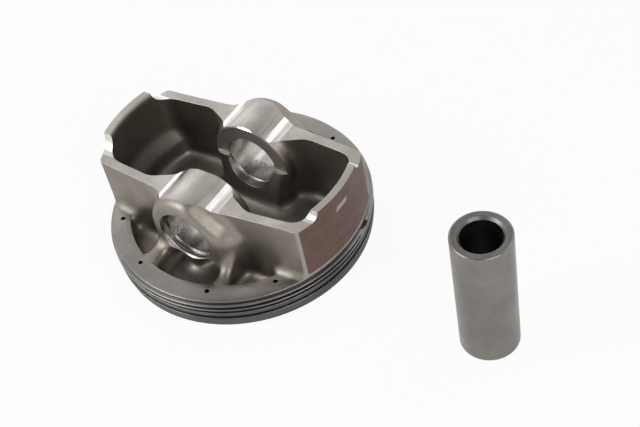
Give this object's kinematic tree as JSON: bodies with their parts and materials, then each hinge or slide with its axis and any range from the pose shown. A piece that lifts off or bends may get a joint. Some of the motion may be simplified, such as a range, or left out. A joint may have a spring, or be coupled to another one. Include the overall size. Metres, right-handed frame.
{
  "type": "piston",
  "caption": "Forged slipper-skirt engine piston lying crown down, with its compression and oil rings fitted and its hollow wrist pin standing beside it.",
  "frame": {"origin": "centre of the crown face, which lies on the bench", "axes": "+Z from the crown to the open end, Y along the pin bore, +X towards the coated thrust skirt and the standing wrist pin"},
  "size_m": [0.1785, 0.106, 0.0559],
  "materials": {
    "forged_aluminium": "milled and shot-blasted forging, with a mauve-brown dry-film coating on the thrust skirts",
    "nitrided_steel": "dark nitrided steel, lapped on its face",
    "phosphated_iron": "phosphated iron",
    "lower_rail_steel": "thin rolled steel rail",
    "spring_steel": "formed spring steel",
    "upper_rail_steel": "thin rolled steel rail",
    "ground_pin_steel": "ground and lapped case-hardened steel"
  },
  "bodies": {
    "piston": {"piston_body": "forged_aluminium", "wrist_pin": "ground_pin_steel"},
    "top_ring": {"top_ring": "nitrided_steel"},
    "second_ring": {"second_ring": "phosphated_iron"},
    "oil_rail_lower": {"oil_rail_lower": "lower_rail_steel"},
    "oil_expander": {"oil_expander": "spring_steel"},
    "oil_rail_upper": {"oil_rail_upper": "upper_rail_steel"}
  },
  "joints": [
    {"name": "top_ring_turn", "type": "hinge", "parent": "piston", "child": "top_ring", "pos_m": [0, 0, 0.00435], "axis": [0, 0, 1], "continuous": true},
    {"name": "second_ring_turn", "type": "hinge", "parent": "piston", "child": "second_ring", "pos_m": [0, 0, 0.00745], "axis": [0, 0, 1], "continuous": true},
    {"name": "oil_rail_lower_turn", "type": "hinge", "parent": "piston", "child": "oil_rail_lower", "pos_m": [0, 0, 0.01025], "axis": [0, 0, 1], "continuous": true},
    {"name": "oil_expander_turn", "type": "hinge", "parent": "piston", "child": "oil_expander", "pos_m": [0, 0, 0.01135], "axis": [0, 0, 1], "continuous": true},
    {"name": "oil_rail_upper_turn", "type": "hinge", "parent": "piston", "child": "oil_rail_upper", "pos_m": [0, 0, 0.01245], "axis": [0, 0, 1], "continuous": true}
  ]
}
